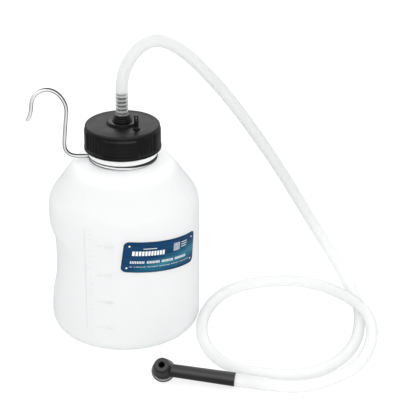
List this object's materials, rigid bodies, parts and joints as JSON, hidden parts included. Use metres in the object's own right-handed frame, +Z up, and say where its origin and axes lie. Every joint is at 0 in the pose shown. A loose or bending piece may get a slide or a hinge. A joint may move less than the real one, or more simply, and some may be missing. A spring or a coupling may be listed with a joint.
{
  "type": "brake fluid bleed bottle",
  "caption": "Round translucent catch bottle: screw cap, barbed hose fitting with one-way valve, wire hanging hook, coiled soft hose and right-angle rubber adaptor for a bleed screw",
  "frame": {"origin": "centre of the bottle's base, on the ground plane", "axes": "+Z up along the bottle's axis, -Y to the front with the label and graduations, +X to the side where the hose lies coiled"},
  "size_m": [0.3019, 0.2014, 0.2652],
  "materials": {
    "hdpe": "translucent natural HDPE, satin",
    "label_print": "printed vinyl film, satin",
    "wire": "bright zinc or chrome plated steel wire",
    "black_plastic": "moulded nylon, semi-gloss",
    "cap_plastic": "moulded polypropylene, satin with fine texture",
    "seal_rubber": "nitrile rubber, matte",
    "spring_steel": "stainless spring wire",
    "ball_steel": "polished stainless steel",
    "hose_clear": "translucent silicone, satin",
    "coupler_plastic": "natural nylon, semi-gloss",
    "liner_foam": "foamed polyethylene, matte",
    "adapter_rubber": "moulded EPDM rubber, satin"
  },
  "bodies": {
    "bottle": {"bottle": "hdpe", "label": "label_print"},
    "hook": {"neck_hook": "wire"},
    "fitting": {"barb_fitting": "black_plastic", "fitting_seal": "seal_rubber", "nut_washer": "seal_rubber", "lock_nut": "black_plastic", "valve_retainer": "black_plastic", "valve_spring": "spring_steel", "dip_tube": "hose_clear", "hose": "hose_clear", "hose_coupler": "coupler_plastic"},
    "cap": {"cap_shell": "cap_plastic", "cap_liner": "liner_foam", "vent_nipple": "black_plastic", "vent_seal": "seal_rubber", "vent_nut": "black_plastic"},
    "valve_ball": {"valve_ball": "ball_steel"},
    "adapter": {"bleeder_adapter": "adapter_rubber"}
  },
  "joints": [
    {"name": "cap_lift", "type": "slide", "parent": "bottle", "child": "fitting", "axis": [0, 0, 1], "range_m": [0, 0.006]},
    {"name": "cap_turn", "type": "hinge", "parent": "fitting", "child": "cap", "pos_m": [0, 0, 0.1904], "axis": [0, 0, 1], "range_deg": [0, 540]},
    {"name": "hook_swivel", "type": "hinge", "parent": "bottle", "child": "hook", "pos_m": [0, 0, 0.16], "axis": [0, 0, 1], "continuous": true},
    {"name": "valve_open", "type": "slide", "parent": "fitting", "child": "valve_ball", "axis": [0, 0, -1], "range_m": [0, 0.0015], "stiffness_N_per_m": 60, "springref_m": -0.002, "deforming": ["valve_spring"]},
    {"name": "adapter_twist", "type": "hinge", "parent": "fitting", "child": "adapter", "pos_m": [0.09514, -0.1155, 0.00725], "axis": [0.9803, -0.1919, -0.0473], "range_deg": [-90, 90]}
  ],
  "couplings": [
    {"joint": "cap_lift", "follows": "cap_turn", "m_per_rad": 0.00063662}
  ]
}
